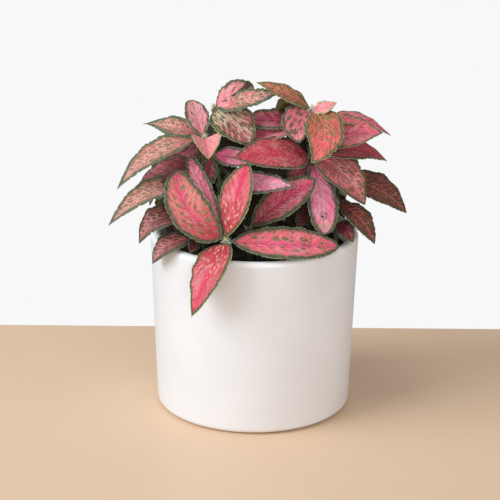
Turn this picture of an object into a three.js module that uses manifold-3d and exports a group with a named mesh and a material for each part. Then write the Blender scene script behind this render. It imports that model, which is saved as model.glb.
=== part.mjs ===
// A potted nerve plant: a round ceramic pot, the soil that fills it, and the leafy stems that grow from it.
// Millimetres, +Z up, the centre of the pot's base at the origin, the front towards -Y.
import * as THREE from 'three';
import { mergeVertices } from 'three/addons/utils/BufferGeometryUtils.js';
import Module from 'manifold-3d';

const wasm = await Module();
wasm.setup();

// Pot
const POT_HEIGHT = 113.3;
const POT_TOP_RADIUS = 65;
const POT_BASE_RADIUS = 60.7;
const POT_BASE_CORNER = 3.7;
const POT_WALL = 6.8;
const POT_FLOOR = 6;
const POT_SIDES = 48;
const CORNER_STEPS = 3;
const LIP_STEPS = 6;

// Soil
const SOIL_EDGE = 102.5;
const SOIL_CENTRE = 103.5;
const GAP = 0.3;

// Stems
const STEM_FOOT_RADIUS = 1.6;
const STEM_TOP_RADIUS = 1.2;
const STEM_SIDES = 6;
const HOLE_RADIUS = 2.05;
const HOLE_SIDES = 12;
const HOLE_LENGTH = 14;

// Leaves
const BLADE_THICKNESS = 0.7;
const STALK_SHARE = 0.06;
const STALK_HALF_WIDTH = 0.75;
const TIP_HALF_WIDTH = 0.15;
const STATION_SPACING = 5.6;
const FEWEST_STATIONS = 7;
const SCALLOP = 0.05;
const EDGE_WAVE = 0.25;
const TWIST_CENTRE = 0.3;
const ACROSS = [-1, 0, 1];

const WELD = 1e-4;

// One leaf: the point of its stem's path where it grows, its tip and its width. bend and sweep arch it up and
// sideways as a share of its length, and fold, roll and twist are degrees.
function leaf(at, tip, width, shape = {}) {
  const plain = { roll: 0, bend: 0, fold: 14, sweep: 0, twist: 0, widest: 0.42, taper: 0.9 };
  return { at, tip, width, ...plain, ...shape };
}

const STEMS = {
  leafy_stem_front: {
    path: [[-16, -38, 96], [-16, -43, 112], [-17, -54, 124]],
    leaves: [
      leaf(2, [-4, -38, 168], 25, { bend: 0.05, sweep: 0.02, widest: 0.5, taper: 0.8 }),
      leaf(2, [-37, -72, 82], 30.5, { roll: 5, bend: 0.1, fold: 10, sweep: -0.09, widest: 0.31, taper: 1 }),
      leaf(2, [51, -41, 117], 24, { roll: 40, bend: 0.06, fold: 12, sweep: 0.05, widest: 0.5, taper: 0.62 }),
      leaf(2, [-48, -36, 162], 26, { roll: -50, bend: 0.06, sweep: -0.15, widest: 0.46, taper: 0.75 }),
      leaf(2, [-40, -27.5, 168], 12.5, { roll: -45, fold: 20, widest: 0.6, taper: 0.35 }),
    ],
  },
  leafy_stem_left: {
    path: [[-30, -18, 96], [-34, -19, 146], [-34, -21, 165], [-31, -24, 179]],
    leaves: [
      leaf(3, [-68, -14, 185], 16, { roll: -35, bend: 0.1, fold: 15, taper: 1.7 }),
      leaf(3, [-38, -10, 199], 17.5, {
        roll: 5, bend: 0.05, fold: 16, sweep: -0.07, widest: 0.55, taper: 0.6,
      }),
      leaf(3, [-28, -36, 169.5], 23, { bend: 0.05, fold: 38, widest: 0.2 }),
      leaf(3, [-83, -36, 150], 18.5, { roll: -28, bend: 0.165, fold: 18, taper: 1.15 }),
      leaf(2, [-72, -28, 147.5], 18.5, { roll: -25, bend: 0.05, fold: 18 }),
      leaf(1, [-88, -42, 129], 18, { roll: -30, bend: 0.245, fold: 20, taper: 1 }),
    ],
  },
  leafy_stem_left_rim: {
    path: [[-36, -32, 96], [-36, -37, 119], [-40, -30, 129]],
    leaves: [
      leaf(2, [-70, -34, 115], 20, { roll: -30, bend: 0.38, fold: 16 }),
      leaf(1, [-62, -34, 102], 16, { roll: -40, bend: 0.27, fold: 16 }),
      leaf(1, [-39, -50, 115], 9, { roll: -40, bend: 0.1, fold: 16 }),
    ],
  },
  leafy_stem_top: {
    path: [[-14, 6, 96], [-20, 2, 150], [-24, -2, 176], [-25.5, 0, 191]],
    leaves: [
      leaf(3, [-2.5, -19, 173], 29, { roll: 20, bend: 0.1, fold: 12 }),
      leaf(3, [-1, 8, 201], 18, { roll: 50, bend: 0.26, fold: 12, twist: -60, widest: 0.5, taper: 0.6 }),
      leaf(3, [-2.5, 3.5, 206.3], 8, { roll: 40, bend: 0.12, widest: 0.6, taper: 0.6 }),
      leaf(3, [15.5, -6, 203.8], 15, { roll: 40, bend: 0.1, fold: 12, sweep: 0.06 }),
      leaf(1, [-42, -4, 130], 18, { bend: 0.15 }),
      leaf(1, [-12, -12, 128], 18, { bend: 0.15 }),
      leaf(1, [-28, -6, 131], 17, { bend: 0.1 }),
      leaf(2, [-55, -2, 149], 25, { roll: -58, bend: 0.1 }),
      leaf(2, [-4, -5, 154], 18, { roll: 40, bend: 0.1 }),
    ],
  },
  leafy_stem_right: {
    path: [[38, -8, 96], [36, -10, 135], [34, -14, 166], [33, -12, 177], [33, -12, 185], [34, -12, 194]],
    leaves: [
      leaf(5, [0.5, -8, 209.8], 15, { roll: -20, bend: 0.06, fold: 12, taper: 1 }),
      leaf(5, [12.3, -2, 190.5], 17, { roll: 25, bend: 0.26, fold: 12, widest: 0.5, taper: 0.8 }),
      leaf(5, [27, -22, 176], 25, { roll: -20, bend: 0.08, fold: 12, sweep: 0.15, widest: 0.35 }),
      leaf(5, [34, -34, 167], 25, { bend: 0.12, fold: 12, sweep: -0.22, widest: 0.38 }),
      leaf(5, [49, -14, 199.3], 10, { roll: 45, fold: 20, sweep: 0.08 }),
      leaf(4, [84, 12, 171.5], 20, { roll: 15, bend: 0.12, fold: 12, widest: 0.55, taper: 1.05 }),
      leaf(4, [-15, 8, 180.5], 19, { roll: -30, bend: 0.05, fold: 12 }),
      leaf(3, [77.5, -14, 180.5], 30, { roll: 30, bend: 0.03, fold: 12, taper: 1.1 }),
      leaf(2, [81.5, 2, 158], 29, { roll: 18, bend: 0.13, fold: 12, taper: 1.1 }),
      leaf(2, [67, -28, 139], 27, { roll: 25, bend: 0.18, fold: 12 }),
      leaf(2, [43, -38, 123], 20.5, { bend: 0.08, fold: 10, widest: 0.6, taper: 0.5 }),
      leaf(2, [-13, -40, 171.3], 27.5, { roll: -35, bend: 0.03, fold: 12, widest: 0.36 }),
      leaf(4, [-8, -6, 171], 20, { roll: -22, bend: 0.03, fold: 12, widest: 0.5, taper: 0.8 }),
      leaf(2, [20, -20, 147], 16, { roll: -30, fold: 12 }),
      leaf(2, [20, 2, 176], 14, { roll: -40, bend: 0.05 }),
      leaf(1, [26, -30, 124], 12, { roll: -30, fold: 12 }),
    ],
  },
  leafy_stem_low_right: {
    path: [[50, -16, 96], [50, -22, 126], [50, -16, 136], [52, 0, 146]],
    leaves: [
      leaf(3, [94, -6, 127], 25.5, { roll: 25, bend: 0.15 }),
      leaf(2, [73.5, -28, 114], 17.5, { roll: 20, bend: 0.17 }),
      leaf(1, [60, -34, 117], 12, { roll: 20, bend: 0.14 }),
      leaf(3, [70, 10, 132], 16, { bend: 0.2 }),
      leaf(2, [68, 0, 110], 18, { bend: 0.2 }),
    ],
  },
  leafy_stem_middle: {
    path: [[-2, -34, 96], [-4, -40, 127]],
    leaves: [
      leaf(1, [37, -30, 155.8], 22, { roll: 45, bend: 0.06, fold: 12, widest: 0.52, taper: 0.7 }),
    ],
  },
  leafy_stem_centre: {
    path: [[-14, -24, 96], [-22, -33.5, 136], [-21, -29.5, 151], [-26, -20.5, 168]],
    leaves: [
      leaf(2, [24, -44, 155], 17, { roll: 40, bend: 0.06, fold: 12 }),
      leaf(2, [-2, -32, 158], 13, { roll: 40, bend: 0.05, fold: 12 }),
      leaf(3, [2, -32, 166], 14, { roll: 50, bend: 0.05, fold: 12 }),
      leaf(3, [-24.8, -34, 153.5], 11, { fold: 16, sweep: 0.1 }),
      leaf(3, [-23, -19, 177], 6, { fold: 16 }),
    ],
  },
  leafy_stem_right_back: {
    path: [[34, 20, 96], [38, 24, 128], [42, 27, 150], [38, 30, 173]],
    leaves: [
      leaf(1, [66, 34, 108], 21, { bend: 0.2 }),
      leaf(1, [58, 68, 110], 22, { bend: 0.2 }),
      leaf(2, [76, 24, 133], 20, { bend: 0.05 }),
      leaf(2, [58, 64, 126], 22, { bend: 0.15 }),
      leaf(3, [66, 18, 165], 18, { bend: 0.15 }),
      leaf(3, [44, 62, 160], 19, { bend: 0.2 }),
      leaf(3, [28, 44, 177], 12, { bend: 0.1, fold: 18 }),
      leaf(1, [56, -2, 122], 20, { bend: 0.15 }),
      leaf(1, [26, 4, 119], 16, { bend: 0.15 }),
      leaf(1, [12, 18, 124], 16, { bend: 0.15 }),
      leaf(2, [58, 0, 152], 18, { bend: 0.15 }),
      leaf(1, [14, 34, 113], 24, { bend: 0.2 }),
    ],
  },
  leafy_stem_back: {
    path: [[0, 34, 96], [2, 40, 132], [0, 44, 152], [-4, 42, 172]],
    leaves: [
      leaf(1, [-20, 84, 112], 22, { bend: 0.2 }),
      leaf(1, [26, 84, 112], 22, { bend: 0.2 }),
      leaf(2, [4, 90, 136], 22, { bend: 0.2 }),
      leaf(2, [-36, 66, 140], 20, { bend: 0.2 }),
      leaf(2, [36, 62, 140], 18, { bend: 0.2 }),
      leaf(3, [-30, 46, 171], 18, { bend: 0.15 }),
      leaf(3, [6, 74, 158], 18, { bend: 0.14 }),
      leaf(3, [-14, 32, 179], 10, { bend: 0.1, fold: 18 }),
      leaf(1, [-4, 14, 114], 19, { bend: 0.2 }),
    ],
  },
  leafy_stem_left_back: {
    path: [[-36, 20, 96], [-40, 24, 130], [-44, 22, 150], [-42, 20, 171]],
    leaves: [
      leaf(1, [-60, 38, 106], 19, { bend: 0.2 }),
      leaf(1, [-58, 66, 110], 22, { bend: 0.2 }),
      leaf(2, [-66, 14, 124], 18, { bend: 0.12 }),
      leaf(2, [-64, 50, 132], 20, { bend: 0.2 }),
      leaf(3, [-60, 14, 162], 16, { bend: 0.1 }),
      leaf(3, [-44, 46, 167], 16, { bend: 0.2 }),
      leaf(3, [-36, 6, 177], 10, { bend: 0.1, fold: 18 }),
      leaf(3, [-11, 9, 160], 25, { roll: 45, bend: 0.1 }),
      leaf(2, [-10, 12, 146], 26, { roll: 50, bend: 0.1 }),
      leaf(1, [-16, 28, 114], 20, { bend: 0.2 }),
    ],
  },
  leafy_stem_crown: {
    path: [[10, 8, 96], [10, 12, 136], [10, 16, 158], [8, 16, 174]],
    leaves: [
      leaf(2, [24, 4, 166], 16, { bend: 0.15 }),
      leaf(2, [-14, 34, 160], 17, { bend: 0.15 }),
      leaf(3, [34, 28, 166], 17, { bend: 0.15 }),
      leaf(3, [4, 44, 168], 16, { bend: 0.15 }),
      leaf(3, [-14, 14, 168], 13, { bend: 0.15 }),
      leaf(1, [24, 50, 134], 18, { bend: 0.15 }),
      leaf(1, [-24, 42, 132], 18, { bend: 0.15 }),
      leaf(1, [4, -24, 112], 24, { bend: 0.1 }),
      leaf(1, [30, -12, 112], 22, { bend: 0.1 }),
      leaf(2, [26, -10, 138], 20, { bend: 0.15 }),
      leaf(2, [2, -14, 142], 20, { bend: 0.1 }),
      leaf(3, [-6, 2, 176], 18, { roll: -30, bend: 0.1 }),
    ],
  },
  leafy_stem_left_side: {
    path: [[-50, 0, 96], [-54, -2, 122], [-52, 2, 140]],
    leaves: [
      leaf(1, [-64, -6, 117], 15, { bend: 0.2 }),
      leaf(2, [-56, 8, 118], 15, { bend: 0.15 }),
      leaf(2, [-59, -16, 137], 14, { bend: 0.15 }),
      leaf(1, [-36, 6, 118], 14, { bend: 0.15 }),
      leaf(1, [-48, -24, 112], 16, { bend: 0.15 }),
    ],
  },
};

// Turns a closed geometry into a solid that can be cut and joined.
function solidOf(geometry) {
  const bare = geometry.clone();
  bare.deleteAttribute('normal');
  bare.deleteAttribute('uv');
  const merged = mergeVertices(bare, WELD);
  const corners = merged.index.array;
  const triangles = [];
  for (let i = 0; i < corners.length; i += 3) {
    const [a, b, c] = corners.slice(i, i + 3);
    if (a !== b && b !== c && c !== a) triangles.push(a, b, c);
  }
  const mesh = new wasm.Mesh({
    numProp: 3,
    vertProperties: Float32Array.from(merged.attributes.position.array),
    triVerts: Uint32Array.from(triangles),
  });
  return new wasm.Manifold(mesh);
}

// Turns a finished solid into a named mesh.
function meshOf(name, solid, material) {
  const { vertProperties, triVerts } = solid.getMesh();
  const geometry = new THREE.BufferGeometry();
  geometry.setAttribute('position', new THREE.BufferAttribute(Float32Array.from(vertProperties), 3));
  geometry.setIndex(new THREE.BufferAttribute(Uint32Array.from(triVerts), 1));
  geometry.computeVertexNormals();
  const mesh = new THREE.Mesh(geometry, material);
  mesh.name = name;
  return mesh;
}

// Spins a profile of radius and height points about the Z axis.
function spun(profile) {
  const geometry = new THREE.LatheGeometry(profile, POT_SIDES);
  geometry.rotateX(Math.PI / 2);
  return solidOf(geometry);
}

// Points on an arc about a centre, from one angle to another.
function arc(centreX, centreY, radius, from, to, steps) {
  return Array.from({ length: steps + 1 }, (_, i) => {
    const angle = THREE.MathUtils.lerp(from, to, i / steps);
    return new THREE.Vector2(centreX + radius * Math.cos(angle), centreY + radius * Math.sin(angle));
  });
}

const LIP_RADIUS = POT_WALL / 2;
const LIP_HEIGHT = POT_HEIGHT - LIP_RADIUS;
const INNER_TOP_RADIUS = POT_TOP_RADIUS - POT_WALL;
const INNER_FLOOR_RADIUS = POT_BASE_RADIUS - POT_WALL;

// Radius of the pot's inner wall at a height.
function innerRadius(height) {
  return THREE.MathUtils.mapLinear(height, POT_FLOOR, LIP_HEIGHT, INNER_FLOOR_RADIUS, INNER_TOP_RADIUS);
}

function potSolid() {
  const cornerRadius = POT_BASE_RADIUS - POT_BASE_CORNER;
  const corner = arc(cornerRadius, POT_BASE_CORNER, POT_BASE_CORNER, -Math.PI / 2, 0, CORNER_STEPS);
  const lip = arc(POT_TOP_RADIUS - LIP_RADIUS, LIP_HEIGHT, LIP_RADIUS, 0, Math.PI, LIP_STEPS);
  const inside = [new THREE.Vector2(INNER_FLOOR_RADIUS, POT_FLOOR), new THREE.Vector2(0, POT_FLOOR)];
  return spun([new THREE.Vector2(0, 0), ...corner, ...lip, ...inside]);
}

// The hole in which a stem stands, along the stem's first stretch.
function stemHole(path) {
  const [foot, next] = path.map((point) => new THREE.Vector3(...point));
  const direction = next.sub(foot).normalize();
  const geometry = new THREE.CylinderGeometry(HOLE_RADIUS, HOLE_RADIUS, HOLE_LENGTH, HOLE_SIDES);
  geometry.translate(0, HOLE_LENGTH / 2 - GAP, 0);
  geometry.applyQuaternion(new THREE.Quaternion().setFromUnitVectors(new THREE.Vector3(0, 1, 0), direction));
  geometry.translate(foot.x, foot.y, foot.z);
  return solidOf(geometry);
}

function soilSolid() {
  const bottom = POT_FLOOR + GAP;
  const profile = [
    new THREE.Vector2(0, bottom),
    new THREE.Vector2(innerRadius(bottom) - GAP, bottom),
    new THREE.Vector2(innerRadius(SOIL_EDGE) - GAP, SOIL_EDGE),
    new THREE.Vector2(0, SOIL_CENTRE),
  ];
  const holes = Object.values(STEMS).map(({ path }) => stemHole(path));
  return holes.reduce((soil, hole) => soil.subtract(hole), spun(profile));
}

// A cylinder whose rings are carried to the points of the stem's path.
function stemSolid(path) {
  const points = path.map((point) => new THREE.Vector3(...point));
  const last = points.length - 1;
  const geometry = new THREE.CylinderGeometry(1, 1, 1, STEM_SIDES, last);
  const position = geometry.attributes.position;
  for (let i = 0; i < position.count; i += 1) {
    const step = Math.round((position.getY(i) + 0.5) * last);
    const before = points[step].clone().sub(points[Math.max(step - 1, 0)]).normalize();
    const after = points[Math.min(step + 1, last)].clone().sub(points[step]).normalize();
    const along = before.add(after).normalize();
    const out = new THREE.Vector3().crossVectors(along, new THREE.Vector3(0, 1, 0)).normalize();
    const side = new THREE.Vector3().crossVectors(out, along);
    const radius = THREE.MathUtils.lerp(STEM_FOOT_RADIUS, STEM_TOP_RADIUS, step / last);
    const placed = points[step].clone();
    placed.addScaledVector(out, radius * position.getX(i));
    placed.addScaledVector(side, radius * position.getZ(i));
    position.setXYZ(i, placed.x, placed.y, placed.z);
  }
  return solidOf(geometry);
}

// A blade's width at u, from its foot at 0 to its tip at 1, as a share of its widest width.
function spread(u, { widest, taper }) {
  if (u <= 0) return 0;
  const rise = taper * widest / (1 - widest);
  return (u / widest) ** rise * ((1 - u) / (1 - widest)) ** taper;
}

// The midrib's point at t of the blade's length, with the directions across it and out of its upper side.
function midrib(foot, blade, t) {
  const chord = new THREE.Vector3(...blade.tip).sub(foot);
  const length = chord.length();
  chord.normalize();
  const level = new THREE.Vector3(0, 0, 1).addScaledVector(chord, -chord.z).normalize();
  const up = level.applyAxisAngle(chord, THREE.MathUtils.degToRad(blade.roll));
  const side = new THREE.Vector3().crossVectors(chord, up);
  const arch = 4 * t * (1 - t) * length;
  const slope = 4 * (1 - 2 * t);
  const point = foot.clone().addScaledVector(chord, t * length);
  point.addScaledVector(up, arch * blade.bend).addScaledVector(side, arch * blade.sweep);
  const along = chord.clone().addScaledVector(up, slope * blade.bend);
  along.addScaledVector(side, slope * blade.sweep).normalize();
  const across = side.addScaledVector(along, -along.dot(side)).normalize();
  across.applyAxisAngle(along, THREE.MathUtils.degToRad(-blade.twist * (t - TWIST_CENTRE)));
  const out = new THREE.Vector3().crossVectors(across, along);
  return { point, across, out };
}

// A folded blade of even thickness with a scalloped, waved edge, split into triangles alike above and below.
function bladeSolid(foot, blade) {
  const length = foot.distanceTo(new THREE.Vector3(...blade.tip));
  const stations = Math.max(FEWEST_STATIONS, Math.round(length / STATION_SPACING));
  const fold = THREE.MathUtils.degToRad(blade.fold);
  const upper = [];
  const lower = [];
  for (let i = 0; i <= stations; i += 1) {
    const t = i / stations;
    const { point, across, out } = midrib(foot, blade, t);
    const share = spread((t - STALK_SHARE) / (1 - STALK_SHARE), blade);
    const turn = i % 2 === 0 ? 1 : -1;
    const least = t > 0.5 ? TIP_HALF_WIDTH : STALK_HALF_WIDTH;
    const half = Math.max(share * blade.width / 2 * (1 + SCALLOP * turn), least);
    for (const v of ACROSS) {
      const lift = Math.abs(v) * (half * Math.sin(fold) + share * EDGE_WAVE * turn);
      const centre = point.clone().addScaledVector(out, lift);
      centre.addScaledVector(across, half * v * Math.cos(fold));
      upper.push(centre.clone().addScaledVector(out, BLADE_THICKNESS / 2));
      lower.push(centre.clone().addScaledVector(out, -BLADE_THICKNESS / 2));
    }
  }
  const columns = ACROSS.length;
  const under = upper.length;
  const index = [];
  for (let i = 0; i < stations; i += 1) {
    for (let k = 0; k < columns - 1; k += 1) {
      const a = i * columns + k;
      const b = a + 1;
      const c = a + columns;
      const d = c + 1;
      index.push(a, b, d, a, d, c);
      index.push(a + under, d + under, b + under, a + under, c + under, d + under);
    }
  }
  const lastRow = stations * columns;
  const rows = Array.from({ length: stations + 1 }, (_, i) => i * columns);
  const footEdge = ACROSS.map((_, k) => k);
  const rightEdge = rows.slice(1).map((row) => row + columns - 1);
  const tipEdge = footEdge.slice(0, -1).reverse().map((k) => lastRow + k);
  const leftEdge = rows.slice(1, -1).reverse();
  const rim = [...footEdge, ...rightEdge, ...tipEdge, ...leftEdge];
  rim.forEach((p, i) => {
    const q = rim[(i + 1) % rim.length];
    index.push(p, p + under, q, q, p + under, q + under);
  });
  const geometry = new THREE.BufferGeometry().setFromPoints([...upper, ...lower]);
  geometry.setIndex(index);
  return solidOf(geometry);
}

// A stem with its leaves, each leaf's stalk rooted in the middle of the stem.
function leafyStem({ path, leaves }) {
  const blades = leaves.map((blade) => bladeSolid(new THREE.Vector3(...path[blade.at]), blade));
  return blades.reduce((whole, blade) => whole.add(blade), stemSolid(path));
}

function ceramic() {
  return new THREE.MeshStandardMaterial({ color: 0xf1eee9, roughness: 0.35, metalness: 0 });
}

function earth() {
  return new THREE.MeshStandardMaterial({ color: 0x2b211a, roughness: 0.95, metalness: 0 });
}

function foliage() {
  return new THREE.MeshStandardMaterial({ color: 0xc9505f, roughness: 0.55, metalness: 0 });
}

const plant = new THREE.Group();
plant.add(meshOf('pot', potSolid(), ceramic()));
plant.add(meshOf('potting_soil', soilSolid(), earth()));
for (const [name, stem] of Object.entries(STEMS)) {
  plant.add(meshOf(name, leafyStem(stem), foliage()));
}

export default plant;
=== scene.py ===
import math
import random
from dataclasses import dataclass

import bpy
from mathutils import Matrix, Vector, noise


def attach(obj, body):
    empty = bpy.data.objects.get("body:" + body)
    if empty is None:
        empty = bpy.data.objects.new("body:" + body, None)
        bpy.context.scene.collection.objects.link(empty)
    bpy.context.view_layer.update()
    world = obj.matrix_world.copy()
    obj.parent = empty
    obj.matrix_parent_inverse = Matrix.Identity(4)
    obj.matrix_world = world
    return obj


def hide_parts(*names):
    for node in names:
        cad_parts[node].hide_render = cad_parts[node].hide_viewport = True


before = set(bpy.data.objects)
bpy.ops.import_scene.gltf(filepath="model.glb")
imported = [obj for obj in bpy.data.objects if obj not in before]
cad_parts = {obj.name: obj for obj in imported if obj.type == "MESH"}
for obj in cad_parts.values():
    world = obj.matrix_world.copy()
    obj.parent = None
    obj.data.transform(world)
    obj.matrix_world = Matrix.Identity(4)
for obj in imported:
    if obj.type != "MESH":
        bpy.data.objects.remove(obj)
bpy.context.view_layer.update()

# Sizes are in millimetres and are turned into metres where a mesh is made.
MM = 0.001

# Camera
CAMERA_PLACE = (0, -1242.35, 525.93)
CAMERA_PITCH = 18.934
CAMERA_ROLL = 0.501
CAMERA_LENS = 150.87
CAMERA_SENSOR = 36
CAMERA_SHIFT = -0.0086
CAMERA_CLIP = (0.05, 20)

# Light: each lamp's name, place in metres, size in metres, power in watts and colour. All aim at the plant.
LAMPS = [
    ("key_light", (-2.25, -1.0, 1.55), 2.0, 60, (0.87, 0.945, 1)),
    ("fill_light", (0.85, -2.4, 0.7), 1.4, 19, (1, 0.985, 0.97)),
    ("top_light", (-0.3, -0.3, 1.9), 0.7, 5, (1, 1, 1)),
]
LAMP_AIM = (0, 0, 0.1)
SURROUND_LIGHT = 0.37
SURROUND_SEEN = 0.57

# Floor, in metres
FLOOR_SIZE = (2.4, 1.525, 0.02)
FLOOR_PLACE = (0, -0.6375, -0.01)

# Pot
POT_HEIGHT = 113.3
POT_TOP_RADIUS = 65
POT_BASE_RADIUS = 60.7
POT_WALL = 6.8
POT_FLOOR = 6
POT_SIDES = 160
POT_FOOT_GAP = 0.7
POT_FOOT_INSET = 5.2
POT_FOOT_RING = 4
POT_FOOT_RECESS = 2.2
LIP_ROUND = 3.3
# Painted highlight on the lip: it starts this far below the pot's top and is full from this far below it.
LIP_PAINTED_HIGHLIGHT = (3.4, 1.2)
RING_TOLERANCE = 0.3
POT_SMOOTHING = 30

# Soil
SOIL_EDGE = 102.5
SOIL_CENTRE = 103.5
SOIL_FOOT_RADIUS = 53.5
SOIL_TOP_RADIUS = 57.8
SOIL_FOOT = 6.3
SOIL_SIDES = 96
SOIL_RINGS = 34
SOIL_SINK = 1.0
SOIL_LUMPS = ((9, 0.9, 0.5), (2.6, 0.7, 4.5))
SOIL_SEED = 11
CRUMBS = 900
CRUMB_SIZES = (0.5, 1.7)
CRUMB_SIZE_POWER = 1.3

# Stems
STEM_FOOT_RADIUS = 1.6
STEM_TOP_RADIUS = 1.2
STEM_SIDES = 12
STEM_STEP = 1.6
NODE_SWELL = 0.55
NODE_REACH = 2.2

# Leaf stalks
WELD = 0.001
STALK_SIDES = 8
STALK_STEPS = 22
STALK_REACH = 0.93
STALK_RADIUS = 0.95
STALK_TAPER = 0.78

# Leaf blades
LEAF_SMOOTHING = 50
BLADE_THICKNESS = 0.45
STALK_SHARE = 0.06
STALK_HALF_WIDTH = 0.75
TIP_HALF_WIDTH = 0.12
STATION_SPACING = 5.6
FEWEST_STATIONS = 7
SCALLOP = 0.022
EDGE_WAVE = 0.3
EDGE_DRIFT = 0.045
EDGE_CURL = 0.8
WARP = 0.7
WARP_LENGTH = 14
WARP_WIDTH = 11
TWIST_CENTRE = 0.3
COLUMNS = 16
TOOTH_LENGTH = 2.8
FEWEST_TEETH = 5
TOOTH_DEPTH = 0.4
TOOTH_CHANCE = (0.3, 1.6)
TOOTH_SHAPE = (1, 0.45, 0)
PLEAT = 0.16
CREASE = 1.25

# Leaf veins. A phase shifts the pattern from leaf to leaf.
VEIN_SPACING = 6.2
VEIN_SLANT = 0.95
VEIN_ARCH = 0.045
VEIN_SWAY = 2.4
VEIN_PHASE = 0.37
SIDE_VEIN = (0.15, 0.6)
MIDRIB_LINE = (0.3, 0.85)
CELL_LENGTH = 3.1
CELL_ROWS = 2
CELL_PHASE = 5.1
CELL_START = 0.1
CELL_RANDOMNESS = 0.85
DOT_SLANT = 0.4
ISLAND_RIM = (-0.05, 0.09)

# Leaf flecks and scar
FLECK_LENGTH = 7.8
FLECK_WIDTH = 3.0
DRY_PAST_SCAR = 6

# Buds and hairs
BUD_LENGTH = 3.4
BUD_WIDTH = 1.9
BUD_SPLAY = 0.8
HAIRS_PER_LEAF = 34
HAIR_RADIUS = 0.13
HAIR_LENGTHS = (1.4, 4)
HAIR_FEET = (0.3, 0.9)


@dataclass
class Leaf:
    """The point of its stem's path where a leaf grows, its tip, width and finish, and how it is bent."""

    at: int
    tip: tuple
    width: float
    finish: str
    roll: float = 0
    bend: float = 0.15
    fold: float = 14
    sweep: float = 0
    twist: float = 0
    widest: float = 0.42
    taper: float = 0.9


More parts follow.
